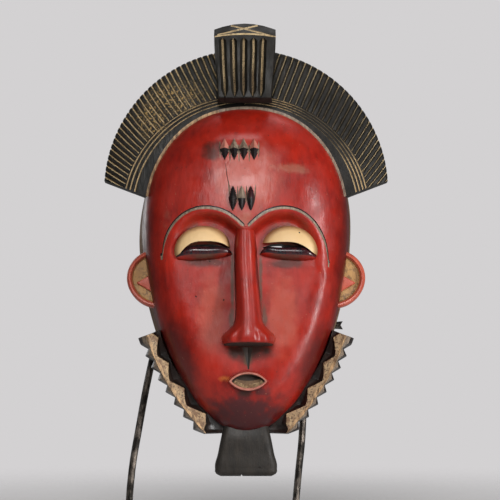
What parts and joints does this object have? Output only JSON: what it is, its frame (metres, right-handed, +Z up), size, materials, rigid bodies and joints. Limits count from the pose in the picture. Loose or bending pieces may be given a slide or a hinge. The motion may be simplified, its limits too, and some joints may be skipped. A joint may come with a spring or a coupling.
{
  "type": "carved face mask on a stand",
  "caption": "Carved wooden face mask with a grooved comb crest, hair lock, toothed jaw collar and beard, resting on a forged iron stand.",
  "frame": {"origin": "on the floor, under the middle of the whole object", "axes": "+Z up, the mask's face towards -Y, +X to the right of someone who looks at the face"},
  "size_m": [0.2512, 0.18, 0.462],
  "materials": {
    "painted_wood": "satin red paint with black, cream and tan areas, worn",
    "forged_iron": "dark hammered iron"
  },
  "bodies": {
    "root": {"mask": "painted_wood", "stand_leg_left": "forged_iron", "stand_leg_right": "forged_iron", "stand_crossbar": "forged_iron", "stand_hook": "forged_iron", "stand_tie": "forged_iron", "stand_foot_left": "forged_iron", "stand_foot_right": "forged_iron"}
  },
  "joints": []
}
